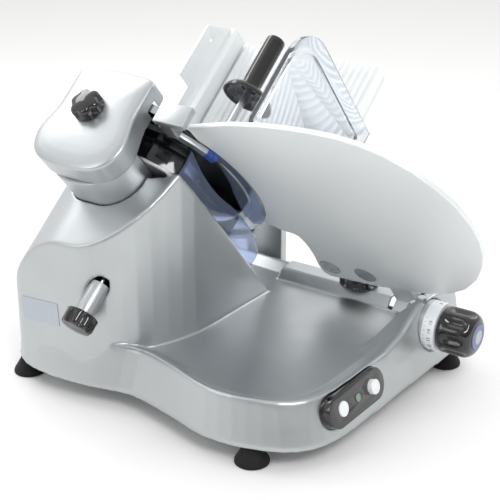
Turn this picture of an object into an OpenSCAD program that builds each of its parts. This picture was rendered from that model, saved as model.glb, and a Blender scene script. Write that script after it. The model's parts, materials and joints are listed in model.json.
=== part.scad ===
// Electric gravity-feed food slicer with a tilted blade, in millimetres.
// The table is at z = 0, -Y faces the operator and +X is the side of the product carriage.

/* [Blade] */
// Diameter of the circular blade
blade_d = 350; // [300:1:360]
// Tilt of the blade's axis above the horizontal, in degrees
blade_tilt = 40; // [36:1:42]
// Height of the blade's centre above the table
blade_h = 302.5; // [290:1:320]
// Thickness of the blade at its flat part
blade_t = 4; // [3:0.5:5]
// Width of the ground bevel
bevel_w = 9; // [6:1:14]
// Place of the blade's centre along X, from the middle of the machine
blade_x = -27.5; // [-60:0.5:-20]
// Place of the blade's centre along Y, from the middle of the machine
blade_y = 177.7; // [160:0.1:200]

/* [Base] */
// Width of the base casting
base_w = 480; // [460:1:500]
// Depth of the base casting
base_d = 577; // [560:1:600]
// Height of the feet under the base
foot_h = 30; // [24:1:40]
// Radius of a foot on the table
foot_r = 25; // [20:1:28]
// Height of the platform's rim above the table
rim_h = 98; // [96:1:104]
// How far the base walls lean in from bottom to rim
wall_lean = 19; // [12:1:22]
// Depth of the dished deck below the rim
dish_depth = 12; // [6:1:14]
// Extra height of the front right corner that carries the thickness dial
corner_rise = 42; // [30:1:48]
// Wall thickness of the casting
wall = 5; // [4:0.5:6]

/* [Motor housing] */
// Radius of the round face behind the blade
face_r = 153; // [148:1:160]
// Distance of that face behind the blade
face_gap = 60; // [54:1:70]
// Radius of the housing's rounded back edge
drum_r = 119; // [112:1:124]
// Half of the housing's depth along Y
housing_half = 127; // [120:1:128]
// Distance of the housing's left wall from the blade's centre
housing_left = 235; // [228:1:240]
// Height of the housing's shoulder above the blade's centre, across the axis
shoulder_u = 110; // [104:1:114]

/* [Gauge plate] */
// Unit of the gauge plate's outline, about a third of its length
plate_unit = 175; // [165:1:178]
// Thickness of the gauge plate
plate_t = 8; // [6:0.5:10]
// Greatest opening of the gauge plate, the thickest slice
plate_travel = 15; // [10:1:16]
// Gap between the blade's edge and the plate's curved edge
plate_gap = 3; // [2:0.5:5]

/* [Thickness dial] */
// Radius of the numbered ring
scale_r = 38.5; // [34:0.5:39]
// Radius of the dial's knob
dial_r = 36; // [30:1:38]
// Length of the dial's knob
dial_len = 56; // [45:1:60]

/* [Switches] */
// Length of the switch panel
panel_len = 145; // [130:1:150]
// Height of the switch panel
panel_h = 48; // [42:1:50]
// Diameter of a push button
button_d = 22; // [20:1:25]
// Travel of a push button
button_travel = 2.5; // [1.5:0.5:3]

/* [Sharpener] */
// Half of the sharpener cap's width
cap_half = 81; // [70:1:84]
// Height of the sharpener's shoulder above the blade's edge
cap_rise = 23; // [18:1:28]
// Height of the cap's skirt
skirt_h = 35; // [30:1:40]

/* [Carriage] */
// Width of the product tray
tray_w = 303; // [280:1:320]
// Length of the product tray along the slope
tray_len = 320; // [300:1:340]
// Distance of the tray's surface below the blade's axis
tray_drop = 120; // [112:1:126]
// Spacing of the tray's ribs
rib_pitch = 13; // [10:0.5:16]
// Diameter of the carriage's round guide bar
bar_d = 22; // [18:1:24]

/* [Pusher] */
// Diameter of the pusher's handle
handle_d = 33; // [28:1:36]
// Length of the pusher's handle
handle_len = 100; // [80:1:110]
// Diameter of the dome below the handle
dome_d = 78; // [60:1:84]

/* [Hidden] */
$fn = 64;

// Shared fits
gap = 0.3;
seat = 0.1;
run = 0.05;
over = 1;
big = 600;

// Rounded outline from x0 to x1 and y0 to y1, with a radius for each corner, from low x, low y round
function arc_pts(c, r, a0, a1, n = 8) =
    [for (i = [0:n]) let (t = a0 + (a1 - a0) * i / n) [c[0] + r * cos(t), c[1] + r * sin(t)]];
function round_box(x0, x1, y0, y1, r) = concat(
    arc_pts([x0 + r[0], y0 + r[0]], r[0], 180, 270), arc_pts([x1 - r[1], y0 + r[1]], r[1], 270, 360),
    arc_pts([x1 - r[2], y1 - r[2]], r[2], 0, 90), arc_pts([x0 + r[3], y1 - r[3]], r[3], 90, 180));
// Smooth closed curve through the points p
function curve_at(a, b, c, d, t) =
    ((2 * b) + (c - a) * t + (2 * a - 5 * b + 4 * c - d) * t * t + (3 * b - a - 3 * c + d) * t * t * t) / 2;
function closed_curve(p, steps) = [for (i = [0:len(p) - 1]) for (s = [0:steps - 1])
    let (n = len(p)) curve_at(p[(i + n - 1) % n], p[i], p[(i + 1) % n], p[(i + 2) % n], s / steps)];
function ease(x, x0, x1) = let (t = max(0, min(1, (x - x0) / (x1 - x0)))) t * t * (3 - 2 * t);

// Frames: base_frame is under the blade's centre, on the table. blade_frame has its x along Y, its y up
// in the blade's plane and its z along the blade's axis, towards the carriage.
module base_frame() translate([blade_x, blade_y, 0]) children();
module blade_frame() base_frame() translate([0, 0, blade_h]) rotate([0, 90 - blade_tilt, 0])
    rotate([0, 0, 90]) children();
// In the blade's frame: extrude upwards in the blade's plane, from height u, or along Y, from place y
module up_from(u) translate([0, u, 0]) rotate([-90, 0, 0]) children();
module along_y(y) translate([y, 0, 0]) rotate([0, 90, 0]) children();
module tube(r, bore, h) difference() {
    cylinder(r = r, h = h);
    translate([0, 0, -over]) cylinder(r = bore, h = h + 2 * over);
}
module block(a, b) translate(a) cube(b - a);

// Base: outline of the bottom edge as shares of its width and depth, from the blade's centre
outline_shares = [
    [-0.312, 0.260], [-0.425, 0.243], [-0.496, 0.165], [-0.512, 0.052], [-0.496, -0.061],
    [-0.466, -0.182], [-0.498, -0.329], [-0.533, -0.454], [-0.515, -0.572], [-0.448, -0.679],
    [-0.312, -0.728], [0, -0.735], [0.312, -0.740], [0.437, -0.735], [0.469, -0.702],
    [0.469, -0.520], [0.469, 0], [0.469, 0.208], [0.437, 0.253], [0.396, 0.260], [0, 0.260]];
curve_steps = 3;
right_share = 0.469;
front_share = -0.735;
right_x = right_share * base_w;
front_y = front_share * base_d;
base_outline = closed_curve([for (s = outline_shares) [s[0] * base_w, s[1] * base_d]], curve_steps);
mid_shares = [-0.02, -0.24];
base_mid = [mid_shares[0] * base_w, mid_shares[1] * base_d];
function pull(p, d) = p - d * (p - base_mid) / norm(p - base_mid);
rise_from_x = 15;
rise_to_x = 108;
rise_back_y = -335;
rise_front_y = -378;
function corner_z(p) = corner_rise * ease(p[0], rise_from_x, rise_to_x)
    * ease(-p[1], -rise_back_y, -rise_front_y);
edge_r = 6;
rim_w = 5;
dish_slope = 22;
function base_levels(d) = [
    [foot_h - d * 2, 0, 0], [foot_h + edge_r, over / 2, 0],
    [(foot_h + rim_h) / 2, wall_lean / 2, 1 / 2], [rim_h - edge_r - d, wall_lean - over, 1],
    [rim_h - over - d, wall_lean + over, 1], [rim_h - d, wall_lean + rim_w, 1],
    [rim_h - over - d, wall_lean + 2 * rim_w, 1],
    [rim_h - dish_depth - d, wall_lean + 2 * rim_w + dish_slope, 1],
    [rim_h - dish_depth - d, wall_lean + 2 * rim_w + 2 * dish_slope, 0]];
// Solid through n points on each of several levels
module loft(pts, n, count) polyhedron(points = pts, convexity = 8, faces = concat(
    [[for (i = [0:n - 1]) i]],
    [for (k = [0:count - 2]) for (i = [0:n - 1]) [k * n + i, (k + 1) * n + i, k * n + (i + 1) % n]],
    [for (k = [0:count - 2]) for (i = [0:n - 1])
        [k * n + (i + 1) % n, (k + 1) * n + i, (k + 1) * n + (i + 1) % n]],
    [[for (i = [n - 1:-1:0]) (count - 1) * n + i]]));
module base_loft(d) {
    levels = base_levels(d);
    loft([for (l = levels) for (p = base_outline)
        let (q = pull(p, l[1] + d)) [q[0], q[1], l[0] + l[2] * corner_z(q)]], len(base_outline), len(levels));
}
// Raised ridge along the right side of the deck, which carries the carriage's lock knob
ridge_top = 104;
ridge_foot = 150;
ridge_crest = 165;
ridge_end = 198;
ridge_side = 205;
ridge_front = -382;
ridge_back = -110;
module ridge(d) base_frame() translate([0, ridge_back, 0]) rotate([90, 0, 0])
    linear_extrude(ridge_back - ridge_front - d) polygon([
        [ridge_foot + d, rim_h - dish_depth - 2 * wall], [ridge_foot + d, rim_h - dish_depth - d],
        [ridge_crest + d / 2, ridge_top - d], [ridge_end - d / 2, ridge_top - d],
        [ridge_side - d, rim_h - d], [ridge_side - d, rim_h - dish_depth - 2 * wall]]);

// Motor housing: plan outline with an elliptical front left corner, cut by the drum and the blade-side face
housing_right = 140;
corner_x = -64;
corner_steps = 10;
rear_corner = 34;
housing_low = 40;
housing_high = 330;
function housing_plan(d) = concat(
    [for (i = [0:corner_steps]) let (t = 180 + 90 * i / corner_steps)
        [corner_x + (housing_left - d + corner_x) * cos(t), (housing_half - d) * sin(t)]],
    [[housing_right, d - housing_half], [housing_right, housing_half - d]],
    arc_pts([rear_corner - housing_left, housing_half - rear_corner], rear_corner - d, 90, 180, 6));
flare_ends = [4, 12, 40, 90];
flare_shares = [1, 0.55, 0.15, 0];
function flare_profile(d) = concat([[0, -face_gap - flare_ends[3]]],
    [for (i = [3:-1:0]) [shoulder_u + flare_shares[i] * (face_r - shoulder_u) - d, -face_gap - flare_ends[i] - d]],
    [[face_r - d, -face_gap - d], [0, -face_gap - d]]);
function housing_section(d) = concat([[-housing_half - over, -big], [-housing_half - over, shoulder_u - d]],
    arc_pts([housing_half - drum_r, shoulder_u - drum_r], drum_r - d, 90, 0, 16), [[housing_half - d, -big]]);
module housing_solid(d) intersection() {
    base_frame() translate([0, 0, housing_low - d]) linear_extrude(housing_high) polygon(housing_plan(d));
    blade_frame() union() {
        rotate_extrude($fn = 96) polygon(flare_profile(d));
        translate([0, 0, -big]) linear_extrude(big - face_gap - d) polygon(housing_section(d));
    }
}

// Places and fits shared by the casting and the pieces that pass through it
dial_x = 124;
dial_z = 96;
boss_out_r = 40;
panel_x = -105;
panel_z = 72;
panel_inset = 11.6;
panel_y = front_y + panel_inset;
panel_back = 10;
panel_tilt = atan((wall_lean - 2 * over) / (rim_h - foot_h - 2 * edge_r));
panel_in_h = 34;
button_gap = 78;
panel_hole = button_gap + button_d + over;
panel_in = 22;
boss_hole_y = -380;
rod_y = -46;
rod_u = 53;
sleeve_r = 14.5;
neck_half = 68;
neck_front = -139;
neck_back = -66;
neck_low = 98;
post_r = 11;
post_a = -100;
slot_front = -362;
slot_back = 96;
slot_low = 48;
slot_top = 82;
support_y = -346;
support_half = 20;
support_slot_x0 = 153;
support_slot_x1 = 189;
bearing_r = 40;
lock_x = 178;
lock_y = -253;
lock_stem_r = 6;
bar_inset = 35;
bar_x = right_x - bar_inset;
bar_z = 62;
bar_y0 = -413;
bar_y1 = 137;
bolt_r = 4;
boss_r = 12;
boss_top = 22;
foot_rib = 40;
plate_sheet = 2;
plate_top = foot_h + edge_r + plate_sheet;
foot_inset = 19.2;
foot_shares = [[-0.515, -0.563], [-0.437, 0.203], [0.396, -0.708], [0.402, 0.213]];
foot_places = [for (i = [0:3]) [foot_shares[i][0] * base_w + (i == 0 ? foot_inset : 0), foot_shares[i][1] * base_d]];

// Gauge plate: outer edge as shares of its unit, from its tip round the front to its foot
plate_shares = [
    [-0.71, 0.87], [-1, 0.97], [-1.2, 1.04], [-1.51, 1.11], [-1.75, 1.145], [-1.98, 1.162], [-2.2, 1.162],
    [-2.4, 1.125], [-2.59, 1.05], [-2.78, 0.9], [-2.93, 0.72], [-3.035, 0.514], [-3.09, 0.28], [-3.105, 0.06],
    [-3.08, -0.16], [-3.02, -0.37], [-2.91, -0.62], [-2.75, -0.85], [-2.56, -1.015], [-2.31, -1.135],
    [-2.07, -1.19], [-1.78, -1.255], [-1.52, -1.28], [-1.27, -1.298], [-1.21, -1.25], [-1.2, -1.14],
    [-1.22, -0.95], [-1.22, -0.8], [-1.21, -0.726], [-1.183, -0.633], [-1.137, -0.605], [-1.02, -0.59],
    [-0.94, -0.548]];
blade_r = blade_d / 2;
plate_r = blade_r + plate_gap;
plate_low_angle = 212;
plate_tip_angle = 136;
plate_outline = concat([for (s = plate_shares) s * plate_unit],
    arc_pts([0, 0], plate_r, plate_low_angle, plate_tip_angle, 24));

module base_casting() color("#c4c8ca") difference() {
    union() {
        base_frame() base_loft(0);
        ridge(0);
        housing_solid(0);
        base_frame() for (p = foot_places) translate([p[0], p[1], foot_h]) cylinder(r = boss_r, h = boss_top);
    }
    difference() {
        union() {
            base_frame() translate([0, 0, -over]) base_loft(wall);
            ridge(wall);
            housing_solid(wall);
        }
        base_frame() for (p = foot_places) translate([p[0], p[1], 0]) {
            cylinder(r = boss_r, h = foot_h + boss_top);
            rotate(atan2(p[1] - base_mid[1], p[0] - base_mid[0])) block([0, -wall, plate_top + gap],
                [foot_rib, wall, foot_h + boss_top]);
        }
        difference() {
            blade_frame() block([support_y - support_half, bars_u - lug_low, bars_g0 - lug_t],
                [support_y + support_half, lug_top, bars_g0]);
            base_frame() block([-big, -big, 0], [big, big, plate_top + gap]);
        }
    }
    base_frame() {
        for (p = foot_places) translate([p[0], p[1], 0]) cylinder(r = bolt_r + seat, h = foot_h + boss_top - wall);
        translate([dial_x, boss_hole_y, dial_z]) rotate([90, 0, 0]) cylinder(r = boss_out_r + seat, h = big / 4);
        block([bar_x, slot_front, slot_low], [big / 2, slot_back, slot_top]);
        block([support_slot_x0, support_y - support_half - 2 * wall, rim_h - dish_depth - 2 * wall],
            [support_slot_x1, support_y + support_half + wall, big / 2]);
        block([dial_x, support_y - support_half - 2 * wall, rim_h - dish_depth - 2 * wall],
            [support_slot_x0 + over, support_y - support_half, dial_z + pin_rest]);
        translate([lock_x, lock_y, foot_h + boss_top]) cylinder(r = lock_stem_r + gap, h = big / 4);
        translate([bar_x, bar_y1, bar_z]) rotate([90, 0, 0]) cylinder(d = bar_d + 2 * seat, h = bar_y1 - bar_y0);
    }
    on_dial(cam_front + cam_t + 2 * over) cylinder(r = cam_r + over, h = cam_t + 3 * over);
    on_panel(0, -panel_in) linear_extrude(big / 8) square([panel_hole, panel_in_h], center = true);
    on_panel(0, -panel_back - seat) linear_extrude(big / 8) stadium(panel_len + 2 * seat, panel_h + 2 * seat);
    blade_frame() {
        for (s = [-1, 1]) translate([support_y + s * bars_half, bars_u, bars_g0 - lug_t + over])
            cylinder(r = bars_r + seat, h = lug_t);
        translate([0, 0, -face_gap - big / 8]) cylinder(r = bearing_r + seat, h = big / 4);
        translate([rod_y, rod_u, -big / 2]) cylinder(r = sleeve_r + seat, h = big / 2 - face_gap - big / 8);
        translate([rod_y, rod_u, -big / 4]) cylinder(r = rod_r + gap, h = big / 2);
        up_from(shoulder_u / 2) translate([0, -post_a, 0]) cylinder(r = post_r + seat, h = big / 4);
        up_from(neck_low) linear_extrude(big / 4) neck_outline(-seat);
    }
    plate_room();
}
module plate_room() blade_frame() translate([0, 0, -plate_travel - plate_t - plate_gap])
    linear_extrude(plate_travel + plate_t + 2 * plate_gap)
        polygon([for (q = plate_outline) [q[0], q[1]] + [0, q[1] < 0 ? -plate_gap : 0]]);

module bottom_plate() color("#9a9da0") base_frame() difference() {
    translate([0, 0, foot_h + edge_r]) linear_extrude(plate_sheet)
        polygon([for (p = base_outline) pull(p, wall + over + 3 * gap)]);
    for (p = foot_places) translate([p[0], p[1], 0]) cylinder(r = boss_r + gap, h = big);
}
foot_top_r = 12;
foot_pad_h = 6;
module feet() color("#141414") base_frame() for (p = foot_places) translate([p[0], p[1], 0]) difference() {
    rotate_extrude() polygon([[0, 0], [foot_r, 0], [foot_r, foot_pad_h / 2], [foot_r - over, foot_pad_h],
        [foot_top_r + over, foot_h - foot_pad_h], [foot_top_r, foot_h], [0, foot_h]]);
    translate([0, 0, foot_pad_h]) cylinder(r = bolt_r + seat, h = foot_h);
}
module foot_screws() color("#8c8f92") base_frame() for (p = foot_places)
    translate([p[0], p[1], foot_pad_h + seat]) cylinder(r = bolt_r, h = foot_h + boss_top - wall - foot_pad_h - over);
// Switch panel on the front wall: a bezel with two push buttons and a lamp between them
lamp_r = 6;
panel_t = 7;
button_out = 7;
module on_panel(x, d) base_frame() translate([panel_x, panel_y, panel_z]) rotate([90 - panel_tilt, 0, 0])
    translate([x, 0, d]) children();
module stadium(l, h) {
    square([l - h, h], center = true);
    for (s = [-1, 1]) translate([s * (l - h) / 2, 0]) circle(d = h);
}
module switch_panel() color("#151515") difference() {
    on_panel(0, -panel_back) linear_extrude(panel_back + panel_t) stadium(panel_len, panel_h);
    for (s = [-1, 1]) on_panel(s * button_gap / 2, -panel_in - over) cylinder(r = button_d / 2 + gap, h = big / 8);
    on_panel(0, -panel_in - over) cylinder(r = lamp_r, h = big / 8);
}
module button(s, out) on_panel(s * button_gap / 2, -panel_in) cylinder(r = button_d / 2, h = panel_in + panel_t + out);
module start_button() color("#f2f2f0") button(-1, 2 * over);
module stop_button() color("#f2f2f0") button(1, button_out);
module pilot_lamp() color("#7d8a80") on_panel(0, -panel_in) cylinder(r = lamp_r, h = panel_in + panel_t + over);
block_depth = 32;
module switch_block() color("#33363a") on_panel(0, -panel_in - button_travel - gap - block_depth)
    linear_extrude(block_depth) square([panel_len - panel_h, panel_in_h], center = true);
board_w = 110;
board_h = 60;
board_t = 2;
board_y = -340;
module control_board() color("#2f6a43") base_frame() block(
    [panel_x - board_w / 2, board_y, plate_top],
    [panel_x + board_w / 2, board_y + board_h, plate_top + board_t]);

// Thickness dial on the front right corner; the dial turns a scroll cam that moves the gauge plate
boss_front = -415;
boss_depth = 27;
boss_cone = 9;
scale_w = 20;
cap_r = 20;
cap_t = 4;
spindle_r = 5;
pin_rest = 24.5;
cam_rim = 5;
cam_r = pin_rest + cam_rim;
cam_t = 8;
cam_front = -385;
pin_r = 3;
dial_sweep = 300;
dial_spread = plate_travel / dial_sweep;
module on_dial(y) base_frame() translate([dial_x, y, dial_z]) rotate([90, 0, 0]) children();
module dial_boss() color("#b9bcbe") difference() {
    union() {
        on_dial(boss_front + boss_depth) cylinder(r = boss_out_r, h = boss_depth - boss_cone);
        on_dial(boss_front + boss_cone) cylinder(r1 = boss_out_r, r2 = scale_r, h = boss_cone);
    }
    on_dial(boss_front + boss_depth + over) cylinder(r = spindle_r + run, h = big / 4);
    plate_room();
}
module scale_ring() color("#eef2f6") on_dial(boss_front - gap) tube(scale_r, spindle_r, scale_w);
dimple_r = 9;
dimples = 8;
dimple_share = 0.56;
knob_edge = 8;
module dial_knob() color("#101010") on_dial(boss_front - gap - scale_w) difference() {
    rotate_extrude() polygon(concat([[spindle_r, 0], [dial_r - knob_edge, 0]],
        arc_pts([dial_r - knob_edge, knob_edge], knob_edge, 270, 360, 5),
        arc_pts([dial_r - 2 * knob_edge, dial_len - 2 * knob_edge], 2 * knob_edge, 0, 90, 6),
        [[cap_r, dial_len], [cap_r, dial_len - cap_t], [spindle_r, dial_len - cap_t]]));
    for (i = [0:dimples - 1]) rotate(i * 360 / dimples)
        translate([dial_r + dimple_r / 2, 0, dial_len * dimple_share]) sphere(r = dimple_r, $fn = 32);
}
module dial_cap() color("#7d86a6") on_dial(boss_front - gap - scale_w - dial_len + cap_t)
    cylinder(r = cap_r - seat, h = cap_t + over);
module dial_spindle() color("#b0b3b5") on_dial(cam_front + cam_t) cylinder(r = spindle_r,
    h = cam_front + cam_t - boss_front + gap + scale_w + dial_len - cap_t - over);
groove_steps = 30;
groove_end = 33;
function scroll(side) = [for (i = [-1:groove_end])
    let (t = dial_sweep * i / groove_steps, r = pin_rest - dial_spread * t + side) [r * cos(t), r * sin(t)]];
module scroll_cam() color("#8e9194") on_dial(cam_front + cam_t) difference() {
    tube(cam_r, spindle_r, cam_t);
    rotate(blade_tilt) translate([0, 0, -over]) linear_extrude(cam_t / 2 + over) polygon(concat(
        scroll(pin_r + gap), [for (i = [groove_end + 1:-1:0]) scroll(-pin_r - gap)[i]]));
}

// Gauge plate with its two plug covers, its support arm and the two bars that the arm slides on
module gauge_plate() color("#dfe3e4") blade_frame() translate([0, 0, -plate_t]) difference() {
    linear_extrude(plate_t) polygon(plate_outline);
    for (p = plug_shares) translate([p[0] * plate_unit, p[1] * plate_unit, -over])
        cylinder(r = plug_r + seat, h = plug_t + over);
}
plug_shares = [[-1.33, -1.115], [-1.707, -1.086]];
plug_r = 18;
plug_t = 3;
module plate_plugs() color("#6d7173") blade_frame() for (p = plug_shares)
    translate([p[0] * plate_unit, p[1] * plate_unit, -plate_t - over / 2]) cylinder(r = plug_r, h = plug_t + over / 2);
support_t = 12;
support_top = -195;
bars_u = -280;
bars_half = 10;
bars_r = 6;
bars_g0 = -56;
lug_t = 10;
lug_low = 9;
lug_top = -222;
bars_g1 = -2;
slide_g0 = -34;
slide_h = 22;
finger_t = 6;
finger_half = 2.5;
dial_u = (dial_z - blade_h) * cos(blade_tilt) - dial_x * sin(blade_tilt);
pin_g = dial_x * cos(blade_tilt) + (dial_z - blade_h) * sin(blade_tilt) + pin_rest;
module plate_support() color("#a9adaf") blade_frame() difference() {
    union() {
        block([support_y - support_half, bars_u, 0], [support_y + support_half, support_top, support_t]);
        block([support_y - support_half, bars_u - slide_h / 2, slide_g0],
            [support_y + support_half, bars_u + slide_h / 2, over]);
        block([support_y - support_half - finger_t, bars_u, pin_g - finger_half],
            [support_y - support_half, dial_u + finger_half + over, pin_g + finger_half]);
        translate([cam_front + cam_t / 2 + gap, dial_u, pin_g]) rotate([0, 90, 0])
            cylinder(r = pin_r, h = support_y - support_half - cam_front - cam_t / 2 - gap);
    }
    for (s = [-1, 1]) translate([support_y + s * bars_half, bars_u, slide_g0 - over])
        cylinder(r = bars_r + run, h = big);
}
module plate_guide_bars() color("#c9ccce") blade_frame() for (s = [-1, 1])
    translate([support_y + s * bars_half, bars_u, bars_g0 - lug_t + over + seat])
        cylinder(r = bars_r, h = bars_g1 - bars_g0 + lug_t - over - seat);

// Blade on its hollow shaft, with the pulley that drives it and the bearings that carry it
hub_r = 62;
hub_t = 9;
shaft_r = 15;
shaft_bore = 7;
shaft_back = -206;
pulley_r = 50;
pulley_g0 = -200;
pulley_g1 = -180;
blade_edge = 0.3;
relief_shares = [3, 2.6];
thin_shares = [0.7, 0.6];
hub_holes = 6;
hub_rim = 18;
module blade() color("#d5d9db") blade_frame() difference() {
    rotate_extrude($fn = 128) polygon([[shaft_r, -blade_t], [blade_r - relief_shares[0] * bevel_w, -blade_t],
        [blade_r - relief_shares[1] * bevel_w, -blade_t * thin_shares[0]],
        [blade_r - bevel_w, -blade_t * thin_shares[1]], [blade_r, -blade_edge], [blade_r, 0], [shaft_r, 0]]);
    for (i = [1:hub_holes]) rotate(360 * i / hub_holes) translate([hub_r - hub_rim, 0, -blade_t - over])
        cylinder(r = bolt_r, h = blade_t + 2 * over);
}
module blade_hub() color("#9da1a4") blade_frame() difference() {
    rotate_extrude() polygon([[0, shaft_back], [shaft_r, shaft_back], [shaft_r, gap - bearing_g1],
        [shaft_r + wall, gap - bearing_g1], [shaft_r + wall, -blade_t - 2 * hub_t],
        [hub_r, -blade_t - hub_t], [hub_r, -blade_t], [shaft_r, -blade_t], [shaft_r, 0], [0, 0]]);
    translate([0, 0, shaft_back - over]) cylinder(r = shaft_bore, h = big);
}
module driven_pulley() color("#85898c") blade_frame() translate([0, 0, pulley_g0])
    tube(pulley_r, shaft_r, pulley_g1 - pulley_g0);
bearing_out = 32;
bearing_w = 16;
bearing_g1 = 66;
bearing_g2 = 132;
cup_end = 150;
cup_flange_r = 56;
yoke_half = 10;
yoke_top = 64;
yoke_back = -220;
stem_in_r = 6.5;
module shaft_bearings() color("#b4b8bb") blade_frame() for (g = [bearing_g1, bearing_g2])
    translate([0, 0, -g - bearing_w]) tube(bearing_out, shaft_r + run, bearing_w);
module bearing_housing() color("#a2a6a8") blade_frame() difference() {
    union() {
        translate([0, 0, -cup_end]) cylinder(r = bearing_r, h = cup_end - face_gap + wall);
        translate([0, 0, -face_gap]) cylinder(r = cup_flange_r, h = wall);
        block([-yoke_half, bearing_out + over, -cup_end], [yoke_half, yoke_top, wall - cup_end]);
        block([-yoke_half, yoke_top - wall, yoke_back], [yoke_half, yoke_top, wall - cup_end]);
        block([-yoke_half, -yoke_half, yoke_back], [yoke_half, yoke_top, yoke_back + wall]);
    }
    translate([0, 0, -cup_end - over]) cylinder(r = bearing_out, h = cup_end);
    translate([0, 0, yoke_back - over]) cylinder(r = stem_in_r + seat, h = wall + 2 * over);
}
collar_r = 138;
collar_front = -9;
collar_cut = -103;
module blade_collar() color("#16181c") blade_frame() difference() {
    translate([0, 0, -face_gap]) tube(collar_r, collar_r - wall, face_gap + collar_front);
    block([-big, -big, -big], [collar_cut, big, big]);
}
cover_r = 138;
cover_t = 9;
cover_gap = 1;
module blade_cover() color("#ccd0d2") blade_frame() rotate_extrude($fn = 96) polygon([[0, yoke_back],
    [stem_in_r, yoke_back], [stem_in_r, cover_gap], [cover_r, cover_gap], [cover_r, cover_gap + cover_t / 3],
    [cover_r - cover_t, cover_gap + cover_t], [0, cover_gap + cover_t]]);

// Motor with its pulley and the belt up to the blade's shaft
motor_u = -108;
motor_r = 50;
motor_back = -172;
motor_foot = 6;
motor_shaft_r = 7;
motor_pulley_r = 18;
belt_t = 4;
module motor_body() color("#5c6166") blade_frame() translate([0, motor_u, 0]) difference() {
    union() {
        translate([0, 0, motor_back]) cylinder(r = motor_r, h = -motor_back - face_gap - wall - seat);
        translate([0, 0, -face_gap - wall - motor_foot]) cylinder(r = motor_r + motor_foot / 2, h = motor_foot - seat);
    }
    translate([0, 0, motor_back - over]) cylinder(r = motor_shaft_r + run, h = motor_r);
}
module motor_shaft() color("#c0c4c6") blade_frame() translate([0, motor_u, shaft_back])
    cylinder(r = motor_shaft_r, h = motor_back - shaft_back + motor_r / 2);
module motor_pulley() color("#85898c") blade_frame() translate([0, motor_u, pulley_g0])
    tube(motor_pulley_r, motor_shaft_r, pulley_g1 - pulley_g0);
belt_lean = asin((pulley_r - motor_pulley_r) / -motor_u);
function belt_loop(e) = concat(arc_pts([0, 0], pulley_r + e, -belt_lean, 180 + belt_lean, 32),
    arc_pts([0, motor_u], motor_pulley_r + e, 180 + belt_lean, 360 - belt_lean, 16));
module drive_belt() color("#1c1c1c") blade_frame() translate([0, 0, pulley_g0 + over])
    linear_extrude(pulley_g1 - pulley_g0 - 2 * over) difference() {
        polygon(belt_loop(belt_t));
        polygon(belt_loop(gap));
    }

// Release rod beside the shaft: its knob on the left wall frees the collar behind the blade
rod_r = 5;
rod_front = -46;
sleeve_g0 = -287;
sleeve_g1 = -236;
rod_knob_r = 25;
rod_knob_t = 26;
module tie_rod() color("#c4c8ca") blade_frame() translate([rod_y, rod_u, sleeve_g0 - rod_knob_t / 2])
    cylinder(r = rod_r, h = rod_front - sleeve_g0 + rod_knob_t / 2);
module tie_rod_sleeve() color("#e2e5e7") blade_frame() translate([rod_y, rod_u, sleeve_g0])
    tube(sleeve_r, rod_r + run, sleeve_g1 - sleeve_g0);
// Black knob with finger dimples round its rim, its face up and its seat at zero
knob_shares = [1.167, 0.6, 0.34];
module dimpled_knob(r, h, bore, depth) difference() {
    rotate_extrude() polygon(concat([[0, 0], [r - over, 0], [r, over]],
        arc_pts([r - h / 3, h * 2 / 3], h / 3, 0, 90, 6), [[0, h]]));
    translate([0, 0, -over]) cylinder(r = bore, h = depth + over);
    for (i = [1:dimples]) rotate(360 * i / dimples) translate([r * knob_shares[0], 0, h * knob_shares[1]])
        sphere(r = r * knob_shares[2], $fn = 24);
}
module tie_rod_knob() color("#121212") blade_frame() translate([rod_y, rod_u, sleeve_g0 - gap]) rotate([180, 0, 0])
    dimpled_knob(rod_knob_r, rod_knob_t, rod_r, rod_knob_t / 2);

// Guards round the blade
guard_in = 3;
guard_out = 13;
guard_g0 = -7;
guard_g1 = 6;
guard_lip = 10;
guard_start = -126;
guard_sweep = 250;
module ring_guard() color("#b2b6b8") blade_frame() rotate(guard_start) rotate_extrude(angle = guard_sweep, $fn = 128)
    polygon([[blade_r + guard_in, guard_g0], [blade_r + guard_out, guard_g0], [blade_r + guard_out, guard_g1],
        [blade_r - guard_lip, guard_g1], [blade_r - guard_lip, guard_g1 - guard_in],
        [blade_r + guard_in, guard_g1 - guard_in]]);
bracket_y0 = -147;
bracket_y1 = -93;
bracket_rise = 4;
bracket_t = 11;
bracket_u0 = blade_r + bracket_rise;
bracket_u1 = bracket_u0 + bracket_t;
bracket_g0 = -28;
bracket_g1 = 5;
web_y0 = -112;
web_drop = 37;
web_u0 = bracket_u0 - web_drop;
web_g1 = -7.1;
bar_in = 13;
bar_out = 2;
bar_g0 = -17;
bar_g1 = -9;
bar_start = 117;
bar_sweep = 32;
module ring_bracket() color("#c9cdcf") blade_frame() {
    block([bracket_y0, bracket_u0, bracket_g0], [bracket_y1, bracket_u1, bracket_g1]);
    block([web_y0, web_u0, bracket_g0 + wall], [bracket_y1, bracket_u0 + over, web_g1]);
    rotate(bar_start) rotate_extrude(angle = bar_sweep, $fn = 128) polygon([[blade_r - bar_in, bar_g0],
        [blade_r + bar_out, bar_g0], [blade_r + bar_out, bar_g1], [blade_r - bar_in, bar_g1]]);
}
strip_y = -106;
strip_t = 4;
strip_u0 = -178;
strip_u1 = 98;
strip_g1 = -7;
module slice_deflector() color("#b9c4e0", 0.5) blade_frame()
    block([strip_y - strip_t, strip_u0, -face_gap + seat], [strip_y, strip_u1, strip_g1]);

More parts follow.
